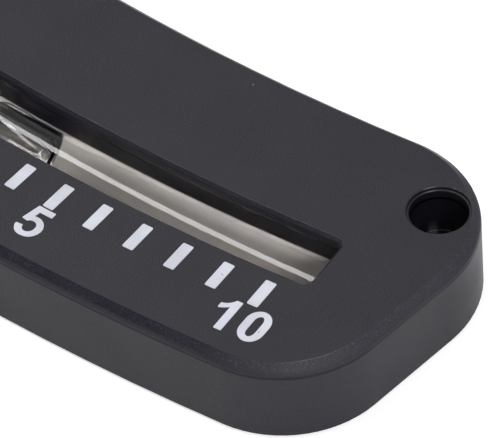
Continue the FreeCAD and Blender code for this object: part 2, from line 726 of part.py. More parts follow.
def end_plug(side, sign):
    """A rubber plug: a stem inside the glass and a flange against its end."""
    middle = f"{sign}(size.tube_angle - size.plug_stem / 2 * size.degrees_per_mm)"
    body = new_body(f"end_plug_{side}", middle)
    stem = ring_profile(body, f"stem_section_{side}", "size.bore_radius - size.film / 2")
    revolve(body, f"stem_{side}", stem, "(size.plug_stem + size.film) * size.degrees_per_mm")
    shift = f"{sign}(size.plug_stem + size.plug_flange) / 2 * size.degrees_per_mm"
    offset = f"placement(vector(0; 0; 0); rotation(vector(0; 1; 0); {shift}))"
    flange = new_sketch(body, "XZ_Plane", f"flange_section_{side}", offset=offset)
    draw_circle(flange, "size.arc_radius", "size.tube_height", "size.tube_radius - size.plug_rim")
    revolve(body, f"flange_{side}", flange, "size.plug_flange * size.degrees_per_mm")
    return body


def end_cushion(side, sign):
    """A soft pad between the plug and the end of the channel."""
    middle = f"{sign}(size.cushion_angle + size.cushion_length / 2 * size.degrees_per_mm)"
    body = new_body(f"end_cushion_{side}", middle)
    section = ring_profile(body, f"cushion_section_{side}", "size.tube_radius - size.plug_rim")
    revolve(body, f"cushion_{side}", section, "size.cushion_length * size.degrees_per_mm")
    return body


def at_scale(angle, height):
    """Offset of a sketch whose origin lies on the tube's line at an angle of the scale."""
    x, y = f"size.arc_radius * cos({angle})", f"size.arc_radius * sin({angle})"
    return f"placement(vector({x}; {y}; {height}); rotation(vector(0; 0; 1); {angle}))"


def damping_liquid():
    """The liquid in the tube, with the rooms that the ball and the bubble take up."""
    body = new_body("damping_liquid")
    section = ring_profile(body, "liquid_section", "size.bore_radius - size.film / 2")
    revolve(body, "filling", section, "2 * size.liquid_angle")
    ball = new_sketch(body, "XY_Plane", "ball_room", offset=at_scale("0", "size.ball_height"))
    room = "size.ball_radius + size.film"
    draw_half_disc(ball, room)
    groove(body, "ball_room_cut", ball, "360")
    place = at_scale("size.bubble_angle", "size.bubble_height")
    bubble = new_sketch(body, "XY_Plane", "bubble_room", offset=place)
    draw_half_capsule(bubble, "size.bubble_radius + size.film", "size.bubble_half + size.film")
    groove(body, "bubble_room_cut", bubble, "360")
    return body


def draw_half_disc(sketch, radius):
    """Half a disc beside the sketch's Y, closed by a line on that axis."""
    r = number(radius)
    quarter = math.pi / 2
    bow, axis = sketch.addGeometry([arc((0, 0), r, -quarter, quarter), line((0, -r), (0, r))], False)
    fix(sketch, "Coincident", bow, 1, axis, 1)
    fix(sketch, "Coincident", bow, 2, axis, 2)
    fix(sketch, "Coincident", bow, 3, -1, 1)
    fix(sketch, "PointOnObject", axis, 1, -2)
    fix(sketch, "PointOnObject", axis, 2, -2)
    constrain(sketch, radius, "Radius", bow)


def indicator_ball():
    """The pointer: a ball that lies on the lowest glass at the zero mark."""
    ball = doc.addObject("Part::Sphere", "indicator_ball")
    ball.Label = "indicator_ball"
    ball.setExpression("Radius", "size.ball_radius")
    ball.setExpression("Placement", "placement(vector(0; 0; size.ball_height); rotation(vector(0; 0; 1); 0))")
    return ball


def air_bubble():
    body = new_body("air_bubble")
    place = at_scale("size.bubble_angle", "size.bubble_height")
    section = new_sketch(body, "XY_Plane", "bubble_section", offset=place)
    draw_half_capsule(section, "size.bubble_radius", "size.bubble_half")
    revolve(body, "bubble", section, "360")
    return body


def scale_marks():
    """One printed mark for each degree on both sides of zero."""
    body = new_body("scale_marks", "-size.last_mark_angle")
    outline = new_sketch(body, "XY_Plane", "mark_outline", "size.plate_thickness")
    near = "size.arc_radius + size.mark_reach"
    draw_rounded_bar(outline, near, f"{near} + size.mark_length", "size.mark_width / 2", "size.mark_corner")
    mark = pad(body, "mark", outline, "size.ink")
    marks = body.newObject("PartDesign::PolarPattern", "marks")
    marks.Originals = [mark]
    marks.Axis = (outline, ["N_Axis"])
    marks.setExpression("Angle", "2 * size.last_mark_angle")
    marks.setExpression("Occurrences", "2 * size.last_mark_angle / size.mark_step_angle + 1")
    body.Tip = marks
    doc.recompute()
    return body


# Outlines of the numerals, as shares of a numeral's height: x from the left, y from the foot.
# A step with one point is a straight line to it, and one with two is an arc through the first.
ONE_SHARES = [
    (0.505, 0.0), [(0.505, 1.0)], [(0.335, 1.0)], [(0.215, 0.85), (0.03, 0.775)], [(0.03, 0.605)],
    [(0.175, 0.665), (0.295, 0.75)], [(0.295, 0.0)], [(0.505, 0.0)],
]
FIVE_SHARES = [
    (0.625, 1.0), [(0.625, 0.825)], [(0.275, 0.825)], [(0.245, 0.655)], [(0.565, 0.595), (0.69, 0.335)],
    [(0.575, 0.075), (0.33, -0.015)], [(0.095, 0.06), (0.0, 0.265)], [(0.19, 0.285)],
    [(0.24, 0.175), (0.335, 0.14)], [(0.455, 0.2), (0.495, 0.335)], [(0.45, 0.465), (0.335, 0.515)],
    [(0.25, 0.5), (0.185, 0.445)], [(0.02, 0.465)], [(0.125, 1.0)], [(0.625, 1.0)],
]
# The nought: half widths and half straight sides of its outside and its opening, as shares.
NOUGHT_OUTER_SHARES = (0.325, 0.13)
NOUGHT_INNER_SHARES = (0.115, 0.16)
NOUGHT_HEIGHT_SHARES = (0.51, 0.345)
NOUGHT_PLACE_SHARE = 1.13
TEN_MIDDLE_SHARE = 0.7
FIVE_MIDDLE_SHARE = 0.315


def outline_face(shares, height):
    """A face within an outline of lines and arcs, its outer corners slightly rounded."""
    here = Vector(*shares[0], 0) * height
    edges = []
    for step in shares[1:]:
        points = [Vector(*point, 0) * height for point in step]
        if len(points) == 1:
            edges.append(Part.LineSegment(here, points[0]).toShape())
        else:
            edges.append(Part.Arc(here, points[0], points[1]).toShape())
        here = points[-1]
    corner = number("size.numeral_corner")
    return Part.Face(Part.Wire(edges)).makeOffset2D(-corner).makeOffset2D(corner)


def oval_face(half_width, half_straight, half_height, height):
    """A face with straight sides and half ellipses above and below."""
    w, straight = half_width * height, half_straight * height
    rise = half_height * height - straight
    edges = []
    for sign in (1, -1):
        centre = Vector(0, straight * sign, 0)
        tip, side = centre + Vector(0, rise * sign, 0), centre + Vector(w * sign, 0, 0)
        ellipse = Part.Ellipse(tip, side, centre) if rise >= w else Part.Ellipse(side, tip, centre)
        ends = sorted(ellipse.parameter(centre + Vector(x, 0, 0)) for x in (-w, w))
        bow = Part.ArcOfEllipse(ellipse, *ends)
        if (bow.value(sum(ends) / 2) - centre).y * sign < 0:
            bow = Part.ArcOfEllipse(ellipse, ends[1], ends[0] + 2 * math.pi)
        wall = Part.LineSegment(Vector(w * sign, -straight, 0), Vector(w * sign, straight, 0))
        edges += [bow.toShape(), wall.toShape()]
    return Part.Face(Part.Wire(Part.__sortEdges__(edges)))


def nought_face(place, height):
    """The nought's ring, with its middle at a place along the line of writing."""
    outer = oval_face(NOUGHT_OUTER_SHARES[0], NOUGHT_OUTER_SHARES[1], NOUGHT_HEIGHT_SHARES[0], height)
    inner = oval_face(NOUGHT_INNER_SHARES[0], NOUGHT_INNER_SHARES[1], NOUGHT_HEIGHT_SHARES[1], height)
    ring = outer.cut(inner)
    ring.translate(Vector(place, 0.5, 0) * height)
    return ring


def numeral(name, value, mark):
    """A printed number under its mark."""
    height, ink = number("size.numeral_height"), number("size.ink")
    if value == 0:
        faces, middle_share = [nought_face(0, height)], 0
    elif value == 5:
        faces, middle_share = [outline_face(FIVE_SHARES, height)], FIVE_MIDDLE_SHARE
    else:
        faces = [outline_face(ONE_SHARES, height), nought_face(NOUGHT_PLACE_SHARE, height)]
        middle_share = TEN_MIDDLE_SHARE
    solids = [face.extrude(Vector(0, 0, ink)) for face in faces]
    feature = doc.addObject("Part::Feature", name)
    feature.Label = name
    feature.Shape = Part.makeCompound(solids) if len(solids) > 1 else solids[0]
    reach = number("size.arc_radius + size.numeral_reach")
    angle = math.radians(mark)
    place = Vector(reach * math.sin(angle), number("size.arc_radius") - reach * math.cos(angle),
                   number("size.plate_thickness"))
    own = Placement(Vector(-middle_share, -0.5, 0) * height, Rotation())
    feature.Placement = Placement(place, Rotation(Vector(0, 0, 1), mark)) * own
    return feature


SIDES = (("left", "-"), ("right", ""))
nodes = [
    front_housing(),
    back_cover(),
    cover_screws(),
    reflector(),
    glass_tube(),
    damping_liquid(),
    air_bubble(),
    indicator_ball(),
    scale_marks(),
]
for side, sign in SIDES:
    nodes.append(end_plug(side, sign))
    nodes.append(end_cushion(side, sign))
half_way, last = number("size.last_mark_angle / 2"), number("size.last_mark_angle")
for name, value, mark in (
    ("numeral_ten_left", 10, -last),
    ("numeral_five_left", 5, -half_way),
    ("numeral_zero", 0, 0.0),
    ("numeral_five_right", 5, half_way),
    ("numeral_ten_right", 10, last),
):
    nodes.append(numeral(name, value, mark))

doc.recompute()
for item in doc.Objects:
    if "Invalid" in item.State or "Error" in item.State:
        raise RuntimeError(f"{item.Label} is {item.State}")
os.makedirs("parts", exist_ok=True)
for node in nodes:
    shape = node.Shape
    if shape.isNull() or not shape.isValid() or not shape.Solids:
        raise RuntimeError(f"{node.Label} has no valid solid")
    shape.exportStep(f"parts/{node.Label}.step")
    print(node.Label, len(shape.Solids), round(shape.Volume, 2), [round(v, 2) for v in (
        shape.BoundBox.XMin, shape.BoundBox.YMin, shape.BoundBox.ZMin,
        shape.BoundBox.XMax, shape.BoundBox.YMax, shape.BoundBox.ZMax)])
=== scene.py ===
# %% [markdown]
# # A tube clinometer in Blender
#
# A tube clinometer shows how far a machine or a panel leans. A glass tube, bent to an arc of
# known radius, lies in the window of a black moulded plate. A ball in the tube rolls to the
# lowest place, and the scale under the window gives the slope in degrees. A liquid damps the
# ball, and a bubble of air leaves the liquid room to expand.
#
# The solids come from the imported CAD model, and each keeps its size and place. This lesson
# dresses them: first the camera, the light and the floor, then the finishes, then the pieces
# that need a finer form than their solids have.

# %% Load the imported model
import bmesh
import bpy
import math
from mathutils import Matrix, Vector


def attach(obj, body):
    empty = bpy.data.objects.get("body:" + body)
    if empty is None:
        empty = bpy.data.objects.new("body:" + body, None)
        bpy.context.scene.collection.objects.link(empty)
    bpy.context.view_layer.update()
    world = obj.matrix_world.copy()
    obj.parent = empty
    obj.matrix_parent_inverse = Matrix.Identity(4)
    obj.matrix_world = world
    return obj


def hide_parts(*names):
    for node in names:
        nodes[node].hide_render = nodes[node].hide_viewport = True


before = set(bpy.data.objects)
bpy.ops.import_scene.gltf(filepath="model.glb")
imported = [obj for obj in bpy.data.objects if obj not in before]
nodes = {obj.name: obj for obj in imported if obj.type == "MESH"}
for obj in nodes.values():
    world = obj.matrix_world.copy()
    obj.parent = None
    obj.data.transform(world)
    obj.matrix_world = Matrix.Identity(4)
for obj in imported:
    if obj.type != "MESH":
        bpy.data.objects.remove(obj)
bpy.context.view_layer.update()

# %% [markdown]
# ## The sizes that the lesson uses
#
# Everything on this instrument is laid out about the centre of one arc. So the lesson keeps the
# arc's radius and the height of the tube's middle by name, in metres, and finds places by their
# angle on the scale. Zero lies straight over the origin, and positive angles run towards +X.

# %% Sizes and places on the arc
ARC = 0.3418
TUBE_Z = 0.0067


def on_arc(degrees, radius=ARC, z=TUBE_Z):
    """The point at an angle of the scale, at a radius from the arc's centre."""
    a = math.radians(degrees)
    return Vector((radius * math.sin(a), ARC - radius * math.cos(a), z))


print("ten-degree mark at", [round(v, 4) for v in on_arc(10)])

# %% [markdown]
# ## The camera
#
# The photograph was taken from far away with a long lens, from the front right and from above,
# so parallel edges stay almost parallel. The camera's direction, roll and distance are set as
# angles and a length, and its three axes are worked out from them. A long lens makes the near
# end only a little larger than the far end, as in the photograph.

# %% Camera at the photograph's angle
AZIMUTH, ELEVATION, ROLL = (math.radians(v) for v in (45.333, 45.473, -3.764))
TARGET = Vector((0.04212, 0.013376, 0))
DISTANCE = 0.94619
LENS, SENSOR = 559.86, 36

look = Vector((
    -math.sin(AZIMUTH) * math.cos(ELEVATION),
    math.cos(AZIMUTH) * math.cos(ELEVATION),
    -math.sin(ELEVATION),
))
right = look.cross(Vector((0, 0, 1))).normalized()
up = right.cross(look)
rolled_right = right * math.cos(ROLL) + up * math.sin(ROLL)
rolled_up = up * math.cos(ROLL) - right * math.sin(ROLL)

camera_data = bpy.data.cameras.new("camera")
camera = bpy.data.objects.new("camera", camera_data)
bpy.context.scene.collection.objects.link(camera)
axes = Matrix((rolled_right, rolled_up, -look)).transposed()
camera.matrix_world = Matrix.Translation(TARGET - look * DISTANCE) @ axes.to_4x4()
camera_data.sensor_width = SENSOR
camera_data.lens = LENS
camera_data.clip_start = 0.05
bpy.context.scene.camera = camera
print("camera at", [round(v, 3) for v in camera.location])

# %% [markdown]
# ## Nodes by name
#
# A finish is a tree of shader nodes. A few small helpers keep the trees short to write. They add a
# node and fill its inputs, do one sum, ease a value from one number to another, mix two colours
# and name a grey. Where a node's input takes a number, they also take another node's output.

# %% Helpers for shader trees
def feed(tree, socket, value):
    """Links an output to a socket, or types a value into it."""
    if isinstance(value, bpy.types.NodeSocket):
        tree.links.new(value, socket)
    else:
        socket.default_value = value


def add(tree, kind, **inputs):
    """Adds a shader node of a kind and fills its inputs by name."""
    item = tree.nodes.new("ShaderNode" + kind)
    for name, value in inputs.items():
        feed(tree, item.inputs[name.replace("_", " ")], value)
    return item


def reckon(tree, operation, *terms):
    """A Math node's result."""
    item = tree.nodes.new("ShaderNodeMath")
    item.operation = operation
    for socket, value in zip(item.inputs, terms):
        feed(tree, socket, value)
    return item.outputs[0]


def ramp(tree, value, low, high, start=0.0, end=1.0):
    """Eases from start to end while the value goes from low to high."""
    item = tree.nodes.new("ShaderNodeMapRange")
    item.interpolation_type = "SMOOTHSTEP"
    terms = {"Value": value, "From Min": low, "From Max": high, "To Min": start, "To Max": end}
    for name, term in terms.items():
        feed(tree, item.inputs[name], term)
    return item.outputs["Result"]


def blend(tree, factor, colour_a, colour_b):
    """Goes from one colour to the other as the factor goes from 0 to 1."""
    item = tree.nodes.new("ShaderNodeMix")
    item.data_type = "RGBA"
    # a Mix node's colours are its inputs 6 and 7, and its output 2
    for index, value in ((0, factor), (6, colour_a), (7, colour_b)):
        feed(tree, item.inputs[index], value)
    return item.outputs[2]


def grey(level, warm=0.0):
    """A grey, warm where the second number is above 0 and cool where it is below."""
    return (level * (1 + warm), level, level * (1 - warm), 1)


print("helpers ready")

# %% [markdown]
# ## White light all round
#
# The photograph was lit as small products often are: white all round, with lamps above. High up
# in front, on the left, the studio is dark, and the sloping edge of the plate mirrors that as a
# dark band. So the world is white, with one soft dark place in that direction. Its borders are
# given as cosines of the angle to its middle. Camera rays see plain white, whatever the light
# does.

# %% World
scene = bpy.context.scene
scene.view_settings.view_transform = "Standard"

WORLD_LIGHT = 0.46
DARK_PLACE = Vector((-0.5, -0.55, 0.67)).normalized()
DARK_FROM, DARK_TO, LIGHT_LEFT = 0.75, 0.93, 0.1

world = bpy.data.worlds.new("white_studio")
scene.world = world
world.use_nodes = True
tree = world.node_tree
facing = tree.nodes.new("ShaderNodeVectorMath")
facing.operation = "DOT_PRODUCT"
feed(tree, facing.inputs[0], add(tree, "TexCoord").outputs["Generated"])
feed(tree, facing.inputs[1], DARK_PLACE)
light = ramp(
    tree, facing.outputs["Value"], DARK_FROM, DARK_TO, WORLD_LIGHT, WORLD_LIGHT * LIGHT_LEFT
)
path = tree.nodes.new("ShaderNodeLightPath")
seen = reckon(tree, "ADD", light, path.outputs["Is Camera Ray"])
feed(tree, tree.nodes["Background"].inputs["Strength"], seen)
tree.nodes["Background"].inputs["Color"].default_value = (1, 1, 1, 1)
print("world light", WORLD_LIGHT)

# %% [markdown]
# ## Lamps
#
# One long lamp draws the bright line along the glass, so its place, length and breadth were found
# by tracing that line's rays back to a height of one metre. Two square lamps, in front and on the
# right, shine through the glass. It gathers their light on the trough behind it, so the tube is
# brightest along its upper side. Cycles can blur light that reaches a matt surface through glass,
# to lessen noise. Here that blur is set to 0, because it would smear the gathered light.

# %% One long lamp and two square ones
scene.cycles.blur_glossy = 0.0
PLATE_MIDDLE = Vector((0.05, 0, 0))

lamp_data = bpy.data.lights.new("long_soft_lamp", "AREA")
lamp_data.shape = "RECTANGLE"
lamp_data.size, lamp_data.size_y = 1.0, 0.143
lamp_data.energy = 4.4
lamp = bpy.data.objects.new("long_soft_lamp", lamp_data)
lamp.location = (-0.47, -0.05, 1.0)
run_x, run_y = 0.54, -0.84
lamp.rotation_euler.z = math.atan2(run_y, run_x)
scene.collection.objects.link(lamp)


def square_lamp(name, towards, side, radiance):
    """A square lamp one metre from the seen half of the plate, which it faces."""
    data = bpy.data.lights.new(name, "AREA")
    data.shape = "SQUARE"
    data.size = side
    data.energy = radiance * math.pi * side ** 2
    item = bpy.data.objects.new(name, data)
    away = Vector(towards).normalized()
    item.location = away + PLATE_MIDDLE
    item.rotation_euler = away.to_track_quat("Z", "Y").to_euler()
    scene.collection.objects.link(item)


square_lamp("front_lamp", (0.09, -0.70, 0.70), 0.25, 1.2)
square_lamp("right_lamp", (0.715, -0.22, 0.66), 0.4, 11.0)
print("lamps:", [lamp.name for lamp in bpy.data.lights])

# %% [markdown]
# ## The table
#
# The table is a matt white sheet. It keeps the soft shadow of the plate, and a glow lifts the
# rest of it to the pure white of the photograph. The camera sees all of this glow, mirrors and
# glass show a tenth of it, and matt surfaces get none.

# %% Floor
TABLE_TONE, TABLE_GLOW, GLOW_SENT_ON = 0.72, 0.5, 0.1

bpy.ops.object.select_all(action="DESELECT")
bpy.ops.mesh.primitive_plane_add(size=4)
floor = bpy.context.active_object
floor.name = "floor"
floor_material = bpy.data.materials.new("white_table")
floor_material.use_nodes = True
tree = floor_material.node_tree
shader = tree.nodes["Principled BSDF"]
shader.inputs["Base Color"].default_value = grey(TABLE_TONE)
shader.inputs["Roughness"].default_value = 0.8
shader.inputs["Specular IOR Level"].default_value = 0.1
shader.inputs["Emission Color"].default_value = (1, 1, 1, 1)
path = tree.nodes.new("ShaderNodeLightPath")
sent_on = reckon(
    tree, "MAXIMUM", path.outputs["Is Glossy Ray"], path.outputs["Is Transmission Ray"]
)
sent_on = reckon(tree, "MULTIPLY", sent_on, GLOW_SENT_ON)
to_the_eye = reckon(tree, "MAXIMUM", path.outputs["Is Camera Ray"], sent_on)
feed(tree, shader.inputs["Emission Strength"], reckon(tree, "MULTIPLY", to_the_eye, TABLE_GLOW))
floor.data.materials.append(floor_material)
print("floor laid, glow", TABLE_GLOW)

# %% [markdown]
# ## Effects that several finishes share
#
# Grain, wear and dust come back on many of the materials, so each is a node group with named
# inputs, placed in each finish with its own values. A group gives only masks and heights, and the
# shader that uses them stays in the material. The patterns read Object coordinates in metres, so
# a scale of 4000 gives grains of about a quarter of a millimetre. The first group is the grain
# that a mould leaves, fine and coarse.

# %% Group for grain
def new_group(name, inputs, outputs):
    """An empty node group with number inputs and number outputs, and its two end nodes."""
    group = bpy.data.node_groups.new(name, "ShaderNodeTree")
    for label, value in inputs.items():
        socket = group.interface.new_socket(
            name=label, in_out="INPUT", socket_type="NodeSocketFloat"
        )
        socket.default_value = value
    for label in outputs:
        group.interface.new_socket(name=label, in_out="OUTPUT", socket_type="NodeSocketFloat")
    return group, group.nodes.new("NodeGroupInput"), group.nodes.new("NodeGroupOutput")


def noise(tree, scale, detail=2.0):
    """Noise over the Object coordinates, about 0.5 on average."""
    place = add(tree, "TexCoord").outputs["Object"]
    return add(tree, "TexNoise", Vector=place, Scale=scale, Detail=detail).outputs["Fac"]


grain, given, result = new_group(
    "moulded_grain", {"Fine Scale": 4500.0, "Coarse Scale": 120.0}, ["Fine", "Coarse"]
)
for label, fineness in (("Fine", 3.0), ("Coarse", 2.0)):
    cloud = noise(grain, given.outputs[label + " Scale"], fineness)
    feed(grain, result.inputs[label], ramp(grain, cloud, 0.3, 0.7))
print("group:", grain.name)

# %% [markdown]
# ## Wear and painted glints
#
# Two groups show wear. One gives the light specks of a rubbed rim, which are partly wear and partly
# painted highlight, a lighter colour in place of the lamps' small glints on the rim. They begin
# just under the rim's height, thin out over a depth, and come from noise, of which a larger Cover
# keeps more.
# The other marks the sloping edge near the two ends of the plate, where hands hold it.

# %% Groups for rubbed edges with painted glints, and handled corners
FACE_Z = 0.012

rub_and_glint, given, result = new_group(
    "rubbed_edge_glints", {"Edge Height": FACE_Z, "Depth": 0.001, "Cover": 0.5}, ["Mask"]
)
place = add(rub_and_glint, "SeparateXYZ", Vector=add(rub_and_glint, "NewGeometry").outputs["Position"])
below = reckon(rub_and_glint, "SUBTRACT", given.outputs["Edge Height"], place.outputs["Z"])
share = reckon(rub_and_glint, "DIVIDE", below, given.outputs["Depth"])
near = reckon(
    rub_and_glint, "MULTIPLY", ramp(rub_and_glint, share, 0.0, 0.06), ramp(rub_and_glint, share, 0.25, 1.0, 1.0, 0.0)
)
threshold = reckon(rub_and_glint, "SUBTRACT", 0.75, given.outputs["Cover"])
# The specks are wear, and their lighter colour is partly painted highlight of the lamps' glints.
specks = ramp(rub_and_glint, noise(rub_and_glint, 5200.0, 1.0), threshold, 0.8)
feed(rub_and_glint, result.inputs["Mask"], reckon(rub_and_glint, "MULTIPLY", near, specks))

handled, given, result = new_group(
    "handled_corners", {"Top": FACE_Z, "Depth": 0.0016, "From": 0.060}, ["Mask"]
)
place = add(handled, "SeparateXYZ", Vector=add(handled, "TexCoord").outputs["Object"])
under = reckon(handled, "SUBTRACT", given.outputs["Top"], place.outputs["Z"])
share = reckon(handled, "DIVIDE", under, given.outputs["Depth"])
slope = reckon(
    handled, "MULTIPLY", ramp(handled, share, 0.005, 0.05), ramp(handled, share, 0.7, 1.0, 1.0, 0.0)
)
outward = reckon(handled, "ABSOLUTE", place.outputs["X"])
beyond = ramp(handled, reckon(handled, "SUBTRACT", outward, given.outputs["From"]), 0.0, 0.008)
feed(handled, result.inputs["Mask"], reckon(handled, "MULTIPLY", slope, beyond))
print("groups:", rub_and_glint.name, handled.name)

# %% [markdown]
# ## Smooth walls in painted shade
#
# The walls of the slot and of the holes were shaped by polished steel, so they lack the grain of
# the face. The plastic's colour is made darker on them too, which is painted shade of those
# recesses.
# The mask is 1 within a radius of each hole's axis, and within a distance of the tube's arc, up to
# the slot's end. Near the rim of the slot it fades, so that the rim keeps its grain and its lighter
# colour.

# %% Group for smooth walls and their painted shade
MOUNT_X, MOUNT_Y = 0.06775, 0.0216
RIM_FADE = 0.003


def distance(tree, a, b):
    """The length of a step that goes a one way and b across."""
    squares = reckon(tree, "MULTIPLY_ADD", a, a, reckon(tree, "MULTIPLY", b, b))
    return reckon(tree, "SQRT", squares)


smooth_and_shaded, given, result = new_group(
    "smooth_shaded_inside", {"Bore": 0.0041, "Slot": 0.0043, "Slot End": 0.072, "Top": 0.0116}, ["Mask"]
)
place = add(smooth_and_shaded, "SeparateXYZ", Vector=add(smooth_and_shaded, "TexCoord").outputs["Object"])
outward = reckon(smooth_and_shaded, "ABSOLUTE", place.outputs["X"])
beside = reckon(smooth_and_shaded, "SUBTRACT", outward, MOUNT_X)
from_hole = distance(smooth_and_shaded, beside, reckon(smooth_and_shaded, "SUBTRACT", place.outputs["Y"], MOUNT_Y))
inward = reckon(smooth_and_shaded, "SUBTRACT", ARC, place.outputs["Y"])
from_centre = distance(smooth_and_shaded, place.outputs["X"], inward)
off_arc = reckon(smooth_and_shaded, "ABSOLUTE", reckon(smooth_and_shaded, "SUBTRACT", from_centre, ARC))
in_bore = reckon(smooth_and_shaded, "LESS_THAN", from_hole, given.outputs["Bore"])
low = reckon(smooth_and_shaded, "SUBTRACT", given.outputs["Top"], RIM_FADE)
in_slot = ramp(smooth_and_shaded, place.outputs["Z"], low, given.outputs["Top"], 1.0, 0.0)
for reach, limit in ((off_arc, "Slot"), (outward, "Slot End")):
    inside = reckon(smooth_and_shaded, "LESS_THAN", reach, given.outputs[limit])
    in_slot = reckon(smooth_and_shaded, "MULTIPLY", in_slot, inside)
feed(smooth_and_shaded, result.inputs["Mask"], reckon(smooth_and_shaded, "MAXIMUM", in_bore, in_slot))
print("group:", smooth_and_shaded.name)

# %% [markdown]
# ## Dust
#
# A few specks of dust lie on what faces up. Each speck is the middle of a cell of a Voronoi
# pattern, and a broad noise keeps them in some places and clears them from others.

# %% Group for dust
dust, given, result = new_group(
    "settled_dust", {"Specks Per Metre": 260.0, "Amount": 1.0}, ["Mask"]
)
upward = add(dust, "SeparateXYZ", Vector=add(dust, "NewGeometry").outputs["Normal"]).outputs["Z"]
cells = add(
    dust, "TexVoronoi", Vector=add(dust, "TexCoord").outputs["Object"],
    Scale=given.outputs["Specks Per Metre"],
)
speck = ramp(dust, cells.outputs["Distance"], 0.008, 0.035, 1.0, 0.0)
kept = ramp(dust, noise(dust, 90.0), 0.55, 0.62)
lying = reckon(dust, "MULTIPLY", speck, kept)
lying = reckon(dust, "MULTIPLY", ramp(dust, upward, 0.6, 0.95), lying)
feed(dust, result.inputs["Mask"], reckon(dust, "MULTIPLY", lying, given.outputs["Amount"]))
print("group:", dust.name)

# %% [markdown]
# ## Starting a finish
#
# Each finish is a material whose one shader gets its colour, roughness and relief from the
# groups. These helpers place a group, start a material, add relief and put a material on solids
# of the CAD model in place of what they came with.

# %% Helpers for finishes
def use(tree, group, **inputs):
    """Places a group in a material, with its own values."""
    item = tree.nodes.new("ShaderNodeGroup")
    item.node_tree = group
    for name, value in inputs.items():
        feed(tree, item.inputs[name.replace("_", " ")], value)
    return item.outputs


def new_finish(name, **constants):
    """A material, its tree and its shader. Values that are the same all over go on the shader."""
    material = bpy.data.materials.new(name)
    material.use_nodes = True
    tree = material.node_tree
    shader = tree.nodes["Principled BSDF"]
    for key, value in constants.items():
        shader.inputs[key.replace("_", " ")].default_value = value
    return material, tree, shader


def bump(tree, shader, height, depth, strength=1.0):
    """Raises the surface where the height is 1, by a depth in metres."""
    item = add(tree, "Bump", Height=height, Strength=strength, Distance=depth)
    feed(tree, shader.inputs["Normal"], item.outputs["Normal"])


def dress(material, *names):
    """Gives CAD nodes their finish."""
    for name in names:
        mesh = nodes[name].data
        mesh.materials.clear()
        mesh.materials.append(material)
    print(material.name, "on", ", ".join(names))


print("finish helpers ready")

# %% [markdown]
# ## Black moulded plastic
#
# The plate is black plastic with the fine grain of its mould. Its own colour is nearly black, and
# the grey that the eye sees is the sheen of the white studio. The grain breaks up that sheen. The
# rims of the face and of the window are rubbed to small light specks, which are partly wear and
# partly painted highlight in place of the lamps' glints there. Hands have dulled the sloping edge
# near both ends. The smooth walls of the slot and of the holes are given a darker colour, which is
# painted shade of those recesses. Just under the sloping edge the two halves of the mould left a
# thin groove, whose shade is painted as a thin black line. The back cover is the same kind of
# plastic, a little lighter, with no such line and hardly any wear.

# %% Plastic of the plate and of its cover
# RUBBED_GLINT_TONE lightens the rim's specks, partly wear and partly painted highlight.
# WALL_SHADE_TONE is painted shade on the walls of the slot and of the holes.
RUBBED_GLINT_TONE, WALL_SHADE_TONE, DUST_TONE = 0.08, 0.007, 0.55
SMOOTHEST, ROUGHEST = 0.3, 0.38
HELD_ADDS, WALL_ADDS = 0.3, -0.2
# The parting line is a fine groove whose shade is painted: black within LINE_DARK of its height,
# fading out by LINE_GONE.
LINE_DARK, LINE_GONE, LINE_DEPTH = 0.0001, 0.00026, 3.0


def tinted(level):
    """The plastic's near-black, which leans to violet."""
    return (level, level * 0.93, level * 1.42, 1)


def black_plastic(name, tone, edge_height, cover, parting=None):
    """Grained plastic, rubbed just under a height, where light specks are partly wear and partly
    painted highlight. With a parting line, it has smooth walls in painted shade and a groove in
    painted shade.
    """
    material, tree, shader = new_finish(name, IOR=1.5)
    grain_of = use(tree, grain, Fine_Scale=4500.0, Coarse_Scale=110.0)
    rubbed_and_glinting = use(tree, rub_and_glint, Edge_Height=edge_height, Depth=0.0014, Cover=cover)["Mask"]
    dusty = use(tree, dust, Amount=0.8)["Mask"]
    base = blend(tree, grain_of["Fine"], tinted(tone * 0.7), tinted(tone * 1.35))
    # Painted highlight and wear: the rubbed specks get a lighter colour.
    base = blend(tree, rubbed_and_glinting, base, tinted(RUBBED_GLINT_TONE))
    roughness = ramp(tree, grain_of["Coarse"], 0.0, 1.0, SMOOTHEST, ROUGHEST)
    held = use(tree, handled, Top=edge_height)["Mask"]
    roughness = reckon(tree, "MULTIPLY_ADD", held, HELD_ADDS, roughness)
    height = grain_of["Fine"]
    if parting:
        inside = use(tree, smooth_and_shaded)["Mask"]
        # Painted shade: the walls of the slot and of the holes get a darker colour.
        base = blend(tree, inside, base, tinted(WALL_SHADE_TONE))
        roughness = reckon(tree, "MULTIPLY_ADD", inside, WALL_ADDS, roughness)
        lower = reckon(tree, "MULTIPLY", height, -0.8)
        height = reckon(tree, "MULTIPLY_ADD", inside, lower, height)
        # The parting line: a slight bump down, and painted shade that makes the groove a thin black
        # line.
        z = add(tree, "SeparateXYZ", Vector=add(tree, "TexCoord").outputs["Object"]).outputs["Z"]
        off = reckon(tree, "ABSOLUTE", reckon(tree, "SUBTRACT", z, parting))
        painted_groove_shade = ramp(tree, off, LINE_DARK, LINE_GONE, 1.0, 0.0)
        base = blend(tree, painted_groove_shade, base, tinted(0.0))
        height = reckon(tree, "SUBTRACT", height, reckon(tree, "MULTIPLY", painted_groove_shade, LINE_DEPTH))
    feed(tree, shader.inputs["Base Color"], blend(tree, dusty, base, grey(DUST_TONE)))
    feed(tree, shader.inputs["Roughness"], roughness)
    bump(tree, shader, height, 0.00002, 0.6)
    return material


plate_plastic = black_plastic(
    "black_moulded_plastic", tone=0.016, edge_height=FACE_Z, cover=0.16, parting=0.01035
)
cover_plastic = black_plastic("black_cover_plastic", tone=0.024, edge_height=0.0001, cover=0.0)
dress(plate_plastic, "front_housing")
dress(cover_plastic, "back_cover")

